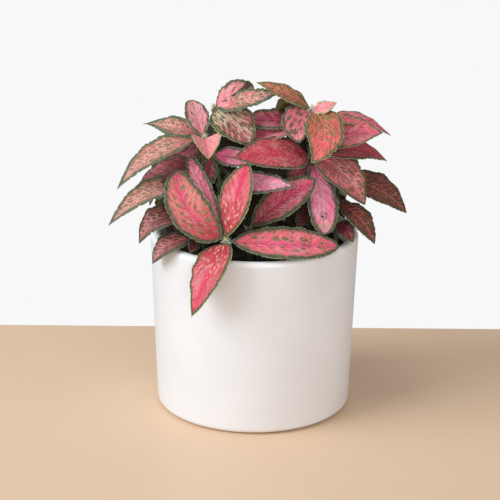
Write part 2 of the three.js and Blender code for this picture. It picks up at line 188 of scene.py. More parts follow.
# Every leafy stem: the path it grows along, then its leaves.
STEMS = {
    "leafy_stem_front": (
        [(-16, -38, 96), (-16, -43, 112), (-17, -54, 124)],
        Leaf(2, (-4, -38, 168), 25, "flecked", bend=0.05, sweep=0.02, widest=0.5, taper=0.8),
        Leaf(
            2, (-37, -72, 82), 30.5, "flecked",
            roll=5, bend=0.1, fold=10, sweep=-0.09, widest=0.31, taper=1,
        ),
        Leaf(
            2, (51, -41, 117), 24, "glowing",
            roll=40, bend=0.06, fold=12, sweep=0.05, widest=0.5, taper=0.62,
        ),
        Leaf(2, (-47, -36, 162.5), 26, "spotted", roll=-50, bend=0.06, sweep=-0.15, widest=0.48, taper=0.6),
        Leaf(2, (-40, -27.5, 168), 12.5, "magenta", roll=-45, bend=0, fold=20, widest=0.6, taper=0.35),
    ),
    "leafy_stem_left": (
        [(-30, -18, 96), (-34, -19, 146), (-34, -21, 165), (-31, -24, 179)],
        Leaf(3, (-68, -14, 185), 16, "salmon", roll=-35, bend=0.1, fold=15, taper=1.7),
        Leaf(
            3, (-38, -10, 199), 17.5, "blush",
            roll=5, bend=0.05, fold=16, sweep=-0.07, widest=0.55, taper=0.6,
        ),
        Leaf(3, (-28, -36, 169.5), 23, "young", bend=0.05, fold=38, widest=0.2),
        Leaf(3, (-83, -36, 150), 18.5, "salmon", roll=-28, bend=0.165, fold=18, taper=1.15),
        Leaf(2, (-72, -28, 147.5), 18.5, "painted_half_shade", roll=-25, bend=0.05, fold=18),
        Leaf(1, (-88, -42, 129), 18, "salmon", roll=-30, bend=0.245, fold=20, taper=1),
    ),
    "leafy_stem_left_rim": (
        [(-36, -32, 96), (-36, -37, 119), (-40, -30, 129)],
        Leaf(2, (-70, -34, 115), 20, "greyed", roll=-30, bend=0.38, fold=16),
        Leaf(1, (-62, -34, 102), 16, "greyed", roll=-40, bend=0.27, fold=16),
        Leaf(1, (-39, -50, 115), 9, "shaded", roll=-40, bend=0.1, fold=16),
    ),
    "leafy_stem_top": (
        [(-14, 6, 96), (-20, 2, 150), (-24, -2, 176), (-25.5, 0, 191)],
        Leaf(3, (-2.5, -19, 173), 29, "cream", roll=20, bend=0.1, fold=12),
        Leaf(3, (-1, 8, 201), 18, "blush", roll=50, bend=0.26, fold=12, twist=-60, widest=0.5, taper=0.6),
        Leaf(3, (-2.5, 3.5, 206.3), 8, "painted_deep_shade", roll=40, bend=0.12, widest=0.6, taper=0.6),
        Leaf(3, (15.5, -6, 203.8), 15, "salmon", roll=40, bend=0.1, fold=12, sweep=0.06),
        Leaf(1, (-42, -4, 130), 18, "painted_deep_shade"),
        Leaf(1, (-12, -12, 128), 18, "painted_deep_shade"),
        Leaf(1, (-28, -6, 131), 17, "painted_deep_shade", bend=0.1),
        Leaf(2, (-55, -2, 149), 27, "shaded", roll=-58, bend=0.1),
        Leaf(2, (-4, -5, 154), 18, "painted_deep_shade", roll=40, bend=0.1),
    ),
    "leafy_stem_right": (
        [(38, -8, 96), (36, -10, 135), (34, -14, 166), (33, -12, 177), (33, -12, 185), (34, -12, 194)],
        Leaf(5, (0.5, -8, 209.8), 15, "orange", roll=-20, bend=0.06, fold=12, taper=1),
        Leaf(5, (12.3, -2, 190.5), 19, "painted_deep_shade", roll=45, bend=0.26, fold=12, widest=0.5, taper=0.8),
        Leaf(5, (27, -22, 176), 25, "laced", roll=-20, bend=0.08, fold=12, sweep=0.15, widest=0.35),
        Leaf(5, (34, -34, 167), 25, "limed", bend=0.12, fold=12, sweep=-0.22, widest=0.38),
        Leaf(5, (49, -14, 199.3), 10, "young", roll=45, bend=0, fold=20, sweep=0.08),
        Leaf(4, (84, 12, 171.5), 20, "bright", roll=15, bend=0.12, fold=12, widest=0.55, taper=1.05),
        Leaf(4, (-15, 8, 180.5), 19, "rosy", roll=-30, bend=0.05, fold=12),
        Leaf(3, (77.5, -14, 180.5), 30, "veined", roll=30, bend=0.03, fold=12, taper=1.1),
        Leaf(2, (81.5, 2, 158), 29, "red", roll=18, bend=0.13, fold=12, taper=1.1),
        Leaf(2, (67, -28, 139), 27, "netted", roll=25, bend=0.18, fold=12),
        Leaf(2, (43, -38, 123), 20.5, "scarred", bend=0.08, fold=10, widest=0.6, taper=0.5),
        Leaf(2, (-13, -40, 171.3), 27.5, "red", roll=-35, bend=0.03, fold=12, widest=0.36),
        Leaf(4, (-8, -6, 171), 20, "bright", roll=-22, bend=0.03, fold=12, widest=0.5, taper=0.8),
        Leaf(2, (20, -20, 147), 16, "rosy", roll=-30, bend=0, fold=12),
        Leaf(2, (20, 2, 176), 16, "painted_deep_shade", roll=-40, bend=0.05),
        Leaf(1, (26, -30, 124), 12, "shaded", roll=-30, bend=0, fold=12),
    ),
    "leafy_stem_low_right": (
        [(50, -16, 96), (50, -22, 126), (50, -16, 136), (52, 0, 146)],
        Leaf(3, (94, -6, 127), 25.5, "dark", roll=25),
        Leaf(2, (73.5, -28, 114), 17.5, "dark", roll=20, bend=0.17),
        Leaf(1, (60, -34, 117), 12, "shaded", roll=20, bend=0.14),
        Leaf(3, (70, 10, 132), 16, "painted_deep_shade", bend=0.2),
        Leaf(2, (68, 0, 110), 18, "shaded", bend=0.2),
    ),
    "leafy_stem_middle": (
        [(-2, -34, 96), (-4, -40, 127)],
        Leaf(1, (37, -30, 155.8), 22, "rosy", roll=45, bend=0.06, fold=12, widest=0.52, taper=0.7),
    ),
    "leafy_stem_centre": (
        [(-14, -24, 96), (-22, -33.5, 136), (-21, -29.5, 151), (-26, -20.5, 168)],
        Leaf(2, (24, -44, 155), 17, "pink", roll=40, bend=0.06, fold=12),
        Leaf(2, (-2, -32, 158), 13, "shaded", roll=40, bend=0.05, fold=12),
        Leaf(3, (2, -32, 166), 14, "pink", roll=50, bend=0.05, fold=12),
        Leaf(3, (-24.8, -34, 153.5), 11, "rosy", bend=0, fold=16, sweep=0.1),
        Leaf(3, (-23, -19, 177), 6, "shaded", bend=0, fold=16),
    ),
    "leafy_stem_right_back": (
        [(34, 20, 96), (38, 24, 128), (42, 27, 150), (38, 30, 173)],
        Leaf(1, (66, 34, 108), 21, "dark", bend=0.2),
        Leaf(1, (58, 68, 110), 22, "netted", bend=0.2),
        Leaf(2, (76, 24, 133), 20, "netted", bend=0.05),
        Leaf(2, (58, 64, 126), 22, "spotted"),
        Leaf(3, (66, 18, 165), 18, "netted"),
        Leaf(3, (44, 62, 160), 19, "bright", bend=0.2),
        Leaf(3, (28, 44, 177), 12, "young", bend=0.1, fold=18),
        Leaf(1, (56, -2, 122), 20, "painted_deep_shade"),
        Leaf(1, (26, 4, 119), 16, "painted_deep_shade"),
        Leaf(1, (12, 18, 124), 16, "painted_deep_shade"),
        Leaf(2, (58, 0, 152), 18, "painted_deep_shade"),
        Leaf(1, (14, 34, 113), 24, "painted_deep_shade", bend=0.2),
    ),
    "leafy_stem_back": (
        [(0, 34, 96), (2, 40, 132), (0, 44, 152), (-4, 42, 172)],
        Leaf(1, (-20, 84, 112), 22, "netted", bend=0.2),
        Leaf(1, (26, 84, 112), 22, "dark", bend=0.2),
        Leaf(2, (4, 90, 136), 22, "spotted", bend=0.2),
        Leaf(2, (-36, 66, 140), 20, "red", bend=0.2),
        Leaf(2, (36, 62, 140), 18, "netted", bend=0.2),
        Leaf(3, (-30, 46, 171), 18, "flecked"),
        Leaf(3, (6, 74, 158), 18, "bright", bend=0.14),
        Leaf(3, (-14, 32, 179), 10, "young", bend=0.1, fold=18),
        Leaf(1, (-4, 14, 114), 19, "painted_deep_shade", bend=0.2),
    ),
    "leafy_stem_left_back": (
        [(-36, 20, 96), (-40, 24, 130), (-44, 22, 150), (-42, 20, 171)],
        Leaf(1, (-60, 38, 106), 19, "dark", bend=0.2),
        Leaf(1, (-58, 66, 110), 22, "netted", bend=0.2),
        Leaf(2, (-66, 14, 124), 18, "painted_deep_shade", bend=0.12),
        Leaf(2, (-64, 50, 132), 20, "spotted", bend=0.2),
        Leaf(3, (-60, 14, 162), 16, "netted", bend=0.1),
        Leaf(3, (-44, 46, 167), 16, "salmon", bend=0.2),
        Leaf(3, (-36, 6, 177), 10, "young", bend=0.1, fold=18),
        Leaf(3, (-11, 9, 160), 25, "painted_deep_shade", roll=45, bend=0.1),
        Leaf(2, (-10, 12, 146), 28.5, "painted_deep_shade", roll=50, bend=0.1),
        Leaf(1, (-16, 28, 114), 20, "painted_deep_shade", bend=0.2),
    ),
    "leafy_stem_crown": (
        [(10, 8, 96), (10, 12, 136), (10, 16, 158), (8, 16, 174)],
        Leaf(2, (24, 4, 166), 16, "netted"),
        Leaf(2, (-14, 34, 160), 17, "spotted"),
        Leaf(3, (34, 28, 166), 17, "bright"),
        Leaf(3, (4, 44, 168), 16, "spotted"),
        Leaf(3, (-14, 14, 168), 13, "netted"),
        Leaf(1, (24, 50, 134), 18, "netted"),
        Leaf(1, (-24, 42, 132), 18, "dark"),
        Leaf(1, (4, -24, 112), 24, "painted_deep_shade", bend=0.1),
        Leaf(1, (30, -12, 112), 22, "painted_deep_shade", bend=0.1),
        Leaf(2, (26, -10, 138), 20, "painted_deep_shade"),
        Leaf(2, (2, -14, 142), 20, "painted_deep_shade", bend=0.1),
        Leaf(3, (-6, 2, 176), 18, "painted_deep_shade", roll=-30, bend=0.1),
    ),
    "leafy_stem_left_side": (
        [(-50, 0, 96), (-54, -2, 122), (-52, 2, 140)],
        Leaf(1, (-64, -6, 117), 15, "dark", bend=0.2),
        Leaf(2, (-56, 8, 118), 15, "dark"),
        Leaf(2, (-59, -16, 137), 14, "painted_half_shade"),
        Leaf(1, (-36, 6, 118), 14, "painted_deep_shade"),
        Leaf(1, (-48, -24, 112), 16, "painted_deep_shade"),
    ),
}


# Materials

def tint(red, green, blue):
    """A colour given in 0 to 255 display values, as the shader wants it."""
    def linear(value):
        share = value / 255
        return share / 12.92 if share <= 0.04045 else ((share + 0.055) / 1.055) ** 2.4

    return (linear(red), linear(green), linear(blue), 1)


def socket_named(sockets, name):
    """The socket with this identifier, or else the first with this name."""
    matches = [socket for socket in sockets if socket.identifier == name]
    return matches[0] if matches else sockets[name]


class Wire:
    """An output of a node, so that sums on it add Math nodes to its tree."""

    def __init__(self, tree, socket=None):
        self.tree = tree
        self.socket = socket

    def node(self, kind, settings, values, output=0):
        """Adds a node with its settings first, then the values or links of its sockets."""
        made = self.tree.nodes.new(kind)
        for name, setting in settings.items():
            setattr(made, name, setting)
        for name, value in values.items():
            socket = made.inputs[name] if isinstance(name, int) else socket_named(made.inputs, name)
            if isinstance(value, Wire):
                self.tree.links.new(value.socket, socket)
            else:
                socket.default_value = value
        found = made.outputs[output] if isinstance(output, int) else socket_named(made.outputs, output)
        return Wire(self.tree, found)

    def math(self, operation, *terms):
        return self.node("ShaderNodeMath", {"operation": operation}, dict(enumerate(terms)))

    def __add__(self, other):
        return self.math("ADD", self, other)

    def __radd__(self, other):
        return self.math("ADD", other, self)

    def __sub__(self, other):
        return self.math("SUBTRACT", self, other)

    def __rsub__(self, other):
        return self.math("SUBTRACT", other, self)

    def __mul__(self, other):
        return self.math("MULTIPLY", self, other)

    def __truediv__(self, other):
        return self.math("DIVIDE", self, other)

    def __abs__(self):
        return self.math("ABSOLUTE", self)

    def between(self, low, high):
        """0 up to low, 1 from high on, and smooth between them."""
        settings = {"interpolation_type": "SMOOTHSTEP"}
        return self.node("ShaderNodeMapRange", settings, {"Value": self, "From Min": low, "From Max": high})


def blend(mask, first, second):
    """The first colour where the mask is 0 and the second where it is 1."""
    values = {"Factor_Float": mask, "A_Color": first, "B_Color": second}
    return mask.node("ShaderNodeMix", {"data_type": "RGBA"}, values, "Result_Color")


def new_finish(name):
    """A new material and a wire for its tree."""
    material = bpy.data.materials.new(name)
    material.use_nodes = True
    return material, Wire(material.node_tree)


def finished(material, colour, roughness, normal=None, specular=0.5):
    """The material, with these wires linked to its shader."""
    shader = material.node_tree.nodes["Principled BSDF"]
    for name, wire in {"Base Color": colour, "Roughness": roughness, "Normal": normal}.items():
        if wire:
            wire.tree.links.new(wire.socket, shader.inputs[name])
    shader.inputs["Specular IOR Level"].default_value = specular
    return material


def bumped(height, strength, distance):
    """The normal of a surface raised by the height."""
    values = {"Strength": strength, "Distance": distance * MM, "Height": height}
    return height.node("ShaderNodeBump", {}, values)


def split(vector):
    """The three parts of a vector."""
    return [vector.node("ShaderNodeSeparateXYZ", {}, {"Vector": vector}, part) for part in range(3)]


def place(x, y, z):
    """A vector of three parts."""
    return x.node("ShaderNodeCombineXYZ", {}, {"X": x, "Y": y, "Z": z})


def mottle(vector, scale, detail=2.0, roughness=0.5):
    """Soft noise from 0 to 1."""
    values = {"Vector": vector, "Scale": scale, "Detail": detail, "Roughness": roughness}
    return vector.node("ShaderNodeTexNoise", {}, values)


def cells(net, output, randomness=1.0, feature="F1"):
    """Uneven cells, one to each unit of the net."""
    settings = {"feature": feature, "voronoi_dimensions": "2D"}
    values = {"Vector": net, "Scale": 1.0, "Randomness": randomness}
    return net.node("ShaderNodeTexVoronoi", settings, values, output)


def on_piece(wires):
    """The place on the piece itself, in metres."""
    return wires.node("ShaderNodeTexCoord", {}, {}, "Object")


# Leaf finishes

@dataclass
class Finish:
    """The colours of a leaf's field, of the light streaks in it, of its foot, of the islands between its
    veins, of its margin, of its outline and, where it differs, of its heart.

    island_edge is low where the veins are thin and the islands large or, if dotted, where the round islands
    are small. island_spread is how much the islands differ and band is the margin's width. veins is how
    strongly the side veins part the islands, and flecks and streaks are how strong those are. cell is an
    island's width, rows how many lie between two side veins, and foot how far the foot's colour reaches.
    If lengthwise, the streaks run along the leaf. scar_at is how far along it a scar lies.
    """

    field: tuple
    streak: tuple
    base: tuple
    island: tuple
    margin: tuple
    outline: tuple
    island_edge: float
    island_spread: float
    band: float
    heart: tuple = None
    veins: float = 0.9
    flecks: float = 0
    streaks: float = 0.6
    cell: float = CELL_LENGTH
    rows: float = CELL_ROWS
    foot: float = 30.0
    dotted: bool = False
    lengthwise: bool = False
    scar_at: float = 0

    def __post_init__(self):
        for name in ("field", "streak", "base", "heart", "island", "margin", "outline"):
            shade = getattr(self, name)
            setattr(self, name, shade and tint(*shade))


LEAF_FINISHES = {
    "bright": Finish(
        (238, 116, 128), (255, 208, 212), (224, 90, 104), (112, 114, 76), (62, 82, 54), (180, 188, 152),
        island_edge=0.34, island_spread=0.4, band=1.2, veins=0.8, flecks=0.5, streaks=0.9, foot=14.0,
        heart=(240, 96, 132),
    ),
    "blush": Finish(
        (248, 164, 172), (253, 216, 218), (246, 148, 158), (110, 108, 80), (66, 84, 62), (178, 186, 152),
        island_edge=0.28, island_spread=0.36, band=2.0, veins=0.8, streaks=0.8, lengthwise=True,
    ),
    "flecked": Finish(
        (230, 108, 118), (254, 166, 178), (180, 28, 48), (112, 106, 66), (60, 78, 48), (186, 190, 140),
        island_edge=0.36, island_spread=0.4, band=2.3, flecks=1.0, heart=(238, 62, 104),
    ),
    "spotted": Finish(
        (220, 124, 118), (238, 164, 160), (176, 34, 62), (140, 142, 88), (62, 80, 54), (150, 162, 134),
        island_edge=0.0, island_spread=0.36, band=2.9, flecks=0.2, streaks=0.55, rows=1.35,
        heart=(236, 90, 126), dotted=True,
    ),
    "glowing": Finish(
        (250, 122, 134), (255, 186, 196), (232, 86, 112), (136, 138, 84), (64, 84, 56), (150, 162, 134),
        island_edge=0.06, island_spread=0.34, band=3.0, flecks=0.2, streaks=0.55, cell=3.0, rows=1.05,
        heart=(252, 96, 140), dotted=True,
    ),
    "veined": Finish(
        (250, 122, 134), (255, 186, 196), (214, 74, 100), (136, 138, 84), (64, 84, 56), (150, 162, 134),
        island_edge=0.16, island_spread=0.34, band=1.3, veins=0.7, flecks=0.2, streaks=0.55, cell=2.5,
        heart=(252, 96, 140),
    ),
    "salmon": Finish(
        (236, 154, 146), (244, 200, 188), (222, 120, 116), (130, 132, 94), (84, 102, 78), (140, 152, 126),
        island_edge=0.05, island_spread=0.24, band=2.1, cell=2.5,
    ),
    "netted": Finish(
        (226, 108, 114), (250, 192, 192), (196, 76, 88), (116, 104, 72), (70, 86, 62), (128, 138, 112),
        island_edge=0.07, island_spread=0.2, band=1.7, veins=1.0, cell=2.7,
    ),
    "greyed": Finish(
        (230, 126, 134), (248, 192, 194), (194, 88, 98), (110, 98, 78), (72, 86, 66), (128, 138, 112),
        island_edge=0.07, island_spread=0.14, band=1.8, veins=1.0, streaks=0.7, cell=2.9, lengthwise=True,
    ),
    "laced": Finish(
        (234, 132, 142), (248, 204, 198), (206, 100, 108), (112, 98, 84), (62, 76, 56), (150, 158, 136),
        island_edge=0.26, island_spread=0.12, band=2.2, streaks=0.5, cell=3.2, rows=1.7, dotted=True,
    ),
    "dark": Finish(
        (164, 68, 62), (218, 138, 128), (172, 72, 72), (62, 58, 38), (62, 74, 54), (128, 136, 112),
        island_edge=0.04, island_spread=0.06, band=1.2, veins=1.0, streaks=0.5, cell=3.8,
    ),
    # Painted shade: dark maroon leaves that stand for leaves lying in shade.
    "shaded": Finish(
        (150, 60, 74), (186, 98, 108), (98, 32, 44), (66, 62, 46), (56, 68, 50), (116, 124, 100),
        island_edge=0.14, island_spread=0.24, band=1.2,
    ),
    # Painted shade, lighter: a dimmed pink for leaves that lie partly in shade.
    "painted_half_shade": Finish(
        (168, 82, 94), (204, 136, 140), (140, 50, 62), (96, 70, 58), (68, 78, 58), (128, 136, 112),
        island_edge=0.2, island_spread=0.24, band=1.3,
    ),
    "rosy": Finish(
        (230, 104, 128), (250, 184, 194), (140, 28, 52), (98, 100, 64), (60, 78, 54), (140, 152, 122),
        island_edge=0.2, island_spread=0.36, band=2.7, flecks=0.3, streaks=0.8, cell=2.3,
        heart=(224, 72, 118),
    ),
    "magenta": Finish(
        (255, 116, 150), (255, 190, 206), (176, 34, 70), (108, 96, 78), (68, 86, 62), (150, 162, 136),
        island_edge=0.34, island_spread=0.4, band=2.4, flecks=0.2, streaks=0.7, lengthwise=True,
    ),
    "scarred": Finish(
        (255, 130, 168), (255, 208, 226), (252, 108, 148), (108, 92, 78), (66, 84, 60), (152, 164, 140),
        island_edge=0.4, island_spread=0.4, band=3.0, streaks=0.75, lengthwise=True, scar_at=39,
    ),
    "pink": Finish(
        (255, 126, 162), (255, 210, 226), (246, 100, 140), (108, 92, 78), (66, 84, 60), (152, 164, 140),
        island_edge=0.4, island_spread=0.4, band=2.1, streaks=0.8, lengthwise=True,
    ),
    "red": Finish(
        (228, 86, 104), (248, 178, 174), (160, 30, 48), (106, 98, 58), (60, 76, 54), (150, 156, 130),
        island_edge=0.2, island_spread=0.36, band=1.7, flecks=0.3, streaks=0.7, cell=2.2, heart=(226, 66, 96),
    ),
    "limed": Finish(
        (240, 84, 100), (252, 136, 138), (184, 112, 84), (118, 130, 60), (70, 92, 56), (178, 186, 136),
        island_edge=0.08, island_spread=0.34, band=1.8, flecks=0.2, streaks=0.7, cell=3.2,
    ),
    "young": Finish(
        (252, 156, 162), (254, 198, 202), (252, 160, 162), (170, 168, 106), (150, 160, 98), (200, 204, 150),
        island_edge=0.4, island_spread=0.4, band=0.6, veins=0.8, streaks=0.8,
    ),
    "bud": Finish(
        (224, 208, 160), (240, 230, 196), (214, 196, 140), (190, 190, 120), (176, 184, 118), (226, 226, 180),
        island_edge=0.4, island_spread=0.4, band=0.3, veins=0.8, streaks=0.8,
    ),
    "orange": Finish(
        (212, 108, 94), (236, 160, 130), (188, 112, 80), (108, 108, 66), (92, 106, 74), (160, 166, 116),
        island_edge=0.04, island_spread=0.28, band=1.3,
    ),
    "cream": Finish(
        (190, 92, 100), (226, 168, 160), (246, 236, 194), (90, 92, 62), (70, 88, 48), (206, 210, 158),
        island_edge=0.14, island_spread=0.3, band=2.6, flecks=0.4, streaks=0.4, cell=2.2, rows=1.1, foot=23.0,
        dotted=True,
    ),
    # Painted shade: near-black leaves set in the gaps between the others, where there is only deep shade.
    "painted_deep_shade": Finish(
        (84, 50, 50), (96, 70, 60), (52, 36, 32), (44, 52, 32), (44, 58, 36), (70, 82, 58),
        island_edge=0.04, island_spread=0.1, band=1.2, veins=1.0, streaks=0.4,
    ),
}

# The field's colour turns a little to RUST near every margin.
RUST = tint(212, 116, 98)
FLECK = tint(246, 200, 166)
SCAR = tint(78, 40, 44)
DRY = tint(212, 176, 134)


@dataclass
class Spot:
    """Wires for a point of a blade, in millimetres: along it, across it, off its midrib and in from its edge.

    seed is its leaf's number, slant where its side vein leaves the midrib, and rib the same counted in veins.
    """

    along: Wire
    across: Wire
    reach: Wire
    inset: Wire
    seed: Wire
    slant: Wire
    rib: Wire

    def grain(self, x, y, shift, *settings):
        """Soft noise over x and y, different on each leaf."""
        return mottle(place(x, y, self.seed * shift), *settings)

    def speckles(self, shift, *settings):
        """Soft noise laid flat on the blade."""
        return self.grain(self.along, self.across, shift, *settings)


def blade_spot(wires, sway=0):
    """The point being shaded, where the side veins sway over this many millimetres."""
    blade = wires.node("ShaderNodeAttribute", {"attribute_name": "blade"}, {}, "Vector")
    along, across, seed = split(blade)
    inset = wires.node("ShaderNodeAttribute", {"attribute_name": "inset"}, {}, "Fac")
    reach = abs(across)
    slant = along - reach * VEIN_SLANT - reach * reach * VEIN_ARCH
    if sway:
        slant = slant + (mottle(place(along, across, seed * 3.7), 0.17) - 0.5) * sway
    return Spot(along, across, reach, inset, seed, slant, slant / VEIN_SPACING + seed * VEIN_PHASE)


def vein_net(spot, looks):
    """The side veins, the islands between them, and how far a point is from the nearest small vein."""
    side_vein = 1 - (abs(spot.rib.math("FRACT", spot.rib) - 0.5) * VEIN_SPACING).between(*SIDE_VEIN)
    near_margin = 1 - spot.inset.between(0.0, 4.5)
    side_vein = side_vein * (1 - near_margin * 0.6)
    rows = (spot.along - spot.reach * DOT_SLANT) / VEIN_SPACING if looks.dotted else spot.rib
    net = place(rows * looks.rows - CELL_START, spot.across / looks.cell + spot.seed * CELL_PHASE, 0.0)
    cell_edge = cells(net, "Distance", CELL_RANDOMNESS, "DISTANCE_TO_EDGE")
    cell_colour = cells(net, "Color", CELL_RANDOMNESS)
    spread = net.node("ShaderNodeSeparateColor", {}, {"Color": cell_colour}, "Red") * looks.island_spread
    ragged = spot.grain(spot.slant, spot.across, 1.9, 1.3, 3.0) - 0.5
    if looks.dotted:
        off_middle = cells(net, "Distance", CELL_RANDOMNESS) + ragged * 0.14
        islands = 1 - (off_middle - looks.island_edge - spread).between(*ISLAND_RIM)
    else:
        limit = looks.island_edge + spread - near_margin * (looks.island_edge * 0.4 + 0.1)
        islands = (cell_edge + ragged * 0.16 - limit).between(*ISLAND_RIM) * (1 - side_vein * looks.veins)
    return side_vein, islands, cell_edge


def field_colour(spot, looks):
    """The colour between the islands: the field, its streaks, its foot, its rusty sides and its heart."""
    lay = (spot.slant * 1.3, spot.across * 0.3)
    if looks.lengthwise:
        lay = (spot.across * 1.2, spot.along * 0.16)
    grain = spot.grain(*lay, 2.3, 1.0, 3.0, 0.65) + 0.05 * looks.lengthwise
    depth = spot.grain(spot.slant, spot.across * 0.5, 4.3, 0.3)
    foot = 1 - spot.along.between(looks.foot * 0.1, looks.foot)
    outer = (1 - spot.inset.between(1.0, 6.5)) * spot.along.between(4.0, 24.0)
    centre = (1 - spot.reach.between(0.5, 4.5)) * spot.along.between(9.0, 24.0)
    streaked = grain.between(0.52, 0.72) * (0.8 * looks.streaks) * (spot.along.between(2.0, 26.0) * 0.6 + 0.4)
    colour = blend(depth.between(0.44, 0.66) * 0.55, looks.field, looks.base)
    colour = blend(spot.speckles(9.1, 0.11).between(0.45, 0.72) * 0.45, colour, looks.streak)
    colour = blend(foot * 0.85, colour, looks.base)
    colour = blend(outer * (0.1 if looks.lengthwise else 0.45) * looks.streaks, colour, RUST)
    colour = blend(centre * (0.8 if looks.heart else 0.3), colour, looks.heart or looks.streak)
    return blend(streaked, colour, looks.streak)


def flecked(spot, strength, colour):
    """The colour with pale flecks over the half of the leaf near its foot."""
    rows = (spot.slant + spot.along) / FLECK_LENGTH + spot.seed * 7.7
    net = place(rows, spot.across / FLECK_WIDTH + spot.seed * 3.1, 0.0)
    pale = 1 - cells(net, "Distance").between(0.12, 0.32)
    pale = pale * spot.inset.between(2.0, 5.0) * (1 - spot.along.between(20.0, 31.0))
    return blend(pale * (0.68 * strength), colour, FLECK)


def scarred(spot, scar_at, colour):
    """The colour with a dark scar on the midrib and a dry stripe past it."""
    crumbled = spot.speckles(1, 1.0, 3.0)
    near_scar = (1 - abs(spot.along - scar_at).between(0.5, 3.6)) * (1 - spot.reach.between(1.5, 4.0))
    colour = blend(crumbled.between(0.46, 0.53) * near_scar, colour, SCAR)
    near_dry = 1 - abs(spot.along - (scar_at + DRY_PAST_SCAR)).between(0.6, 2.4)
    return blend(crumbled.between(0.42, 0.5) * near_dry * 0.8, colour, DRY)


def margined(spot, looks, tones, colour):
    """The colour with the green margin, frayed on its inner side, and the pale outline."""
    fray = spot.speckles(1, 0.42, 4.0, 0.65) - 0.5
    band = 1 - (spot.inset + fray * 4.2).between(looks.band * 0.5, looks.band * 1.2 + 0.4)
    rim_tone = blend(tones.between(0.35, 0.7) * 0.2, looks.margin, looks.outline)
    colour = blend(band * 0.95, colour, rim_tone)
    return blend((1 - spot.inset.between(0.15, 0.5)) * 0.85, colour, looks.outline)


def leaf_finish(kind, looks):
    """A leaf's upper side: a coloured field with green islands between the veins and a green margin."""
    material, wires = new_finish("nerve_leaf_" + kind)
    spot = blade_spot(wires, VEIN_SWAY)
    side_vein, islands, cell_edge = vein_net(spot, looks)
    midrib_line = 1 - spot.reach.between(*MIDRIB_LINE)
    tones = spot.speckles(6.1, 0.5)
    island_tone = blend(tones.between(0.35, 0.65) * 0.6, looks.island, looks.margin)
    colour = blend(islands * (1 - midrib_line) * 0.88, field_colour(spot, looks), island_tone)
    if looks.flecks:
        colour = flecked(spot, looks.flecks, colour)
    if looks.scar_at:
        colour = scarred(spot, looks.scar_at, colour)
    colour = margined(spot, looks, tones, colour)
    pores = spot.speckles(1, 2.2, 3.0)
    puckers = cell_edge.between(0.0, 0.35) - side_vein * 0.9 - midrib_line * 1.2 + pores * 0.35
    return finished(material, colour, 0.42 + pores * 0.22, bumped(puckers, 0.9, 0.4), specular=0.35)


def underside_finish():
    """A leaf's lower side: paler and duller, with raised veins."""
    material, wires = new_finish("nerve_leaf_underside")
    spot = blade_spot(wires)
    net = place(spot.rib * CELL_ROWS - CELL_START, spot.across / CELL_LENGTH + spot.seed * CELL_PHASE, 0.0)
    veins = 1 - cells(net, "Distance", feature="DISTANCE_TO_EDGE").between(0.03, 0.16)
    clouds = spot.speckles(1, 0.5)
    colour = blend(clouds, tint(98, 108, 72), tint(126, 126, 88))
    colour = blend(veins * 0.55, colour, tint(176, 128, 112))
    return finished(material, colour, 0.55 + clouds * 0.15, bumped(veins, 0.4, 0.2))


# Other finishes

def stem_finish():
    """Green stems, browner in patches, with fine ridges."""
    material, wires = new_finish("nerve_plant_stem")
    patches = mottle(on_piece(wires), 90.0)
    ridges = mottle(on_piece(wires), 900.0, 3.0)
    colour = blend(patches.between(0.35, 0.7), tint(64, 80, 42), tint(98, 84, 50))
    colour = blend(ridges.between(0.4, 0.8) * 0.4, colour, tint(126, 128, 84))
    return finished(material, colour, 0.5 + ridges * 0.2, bumped(ridges, 0.3, 0.15))


def hair_finish():
    """Pale dry plant hairs."""
    material, wires = new_finish("nerve_plant_hair")
    patches = mottle(on_piece(wires), 400.0)
    colour = blend(patches.between(0.35, 0.65), tint(224, 224, 212), tint(242, 238, 230))
    return finished(material, colour, 0.6 + patches * 0.2)


def glaze_finish():
    """White satin glaze, faintly uneven, with a painted highlight that turns the lip nearly pure white."""
    material, wires = new_finish("white_glaze")
    cloud = mottle(on_piece(wires), 22.0, 3.0)
    grain = mottle(on_piece(wires), 700.0)
    colour = blend(cloud.between(0.3, 0.75), tint(238, 241, 246), tint(234, 236, 241))
    height = split(on_piece(wires))[2]
    # Painted highlight: the glaze is nearly pure white on top of the lip, where the light falls.
    start, end = LIP_PAINTED_HIGHLIGHT
    painted_lip_highlight = height.between((POT_HEIGHT - start) * MM, (POT_HEIGHT - end) * MM)
    colour = blend(painted_lip_highlight, colour, tint(255, 254, 253))
    uneven = bumped(cloud * 2 + grain * 0.2, 0.12, 0.3)
    return finished(material, colour, 0.3 + cloud * 0.12 + grain * 0.05, uneven)


def soil_finish():
    """Dark moist potting soil."""
    material, wires = new_finish("potting_soil_dark")
    lumps = mottle(on_piece(wires), 260.0, 4.0, 0.6)
    grit = mottle(on_piece(wires), 1100.0, 3.0, 0.6)
    colour = blend(lumps.between(0.35, 0.7), tint(34, 25, 19), tint(72, 54, 40))
    colour = blend(grit.between(0.6, 0.8) * 0.5, colour, tint(104, 84, 62))
    return finished(material, colour, 0.85 + grit * 0.12, bumped(lumps + grit * 0.5, 0.8, 0.8))


def floor_finish():
    """Pale warm floor, nearly even."""
    material, wires = new_finish("pale_floor")
    cloud = mottle(on_piece(wires), 9.0)
    colour = blend(cloud.between(0.3, 0.7), tint(240, 208, 176), tint(238, 205, 173))
    return finished(material, colour, 0.5 + cloud * 0.1)


# Modelling helpers

def deselect():
    bpy.ops.object.select_all(action="DESELECT")


def named(name):
    """Names the active object and its mesh."""
    piece = bpy.context.object
    piece.name = name
    piece.data.name = name
    return piece


def copied(piece):
    """A copy of a piece with its own mesh."""
    copy = piece.copy()
    copy.data = piece.data.copy()
    bpy.context.collection.objects.link(copy)
    return copy


def applied():
    """Moves the active object's place, turn and scale into its mesh."""
    bpy.ops.object.transform_apply(location=True, rotation=True, scale=True)


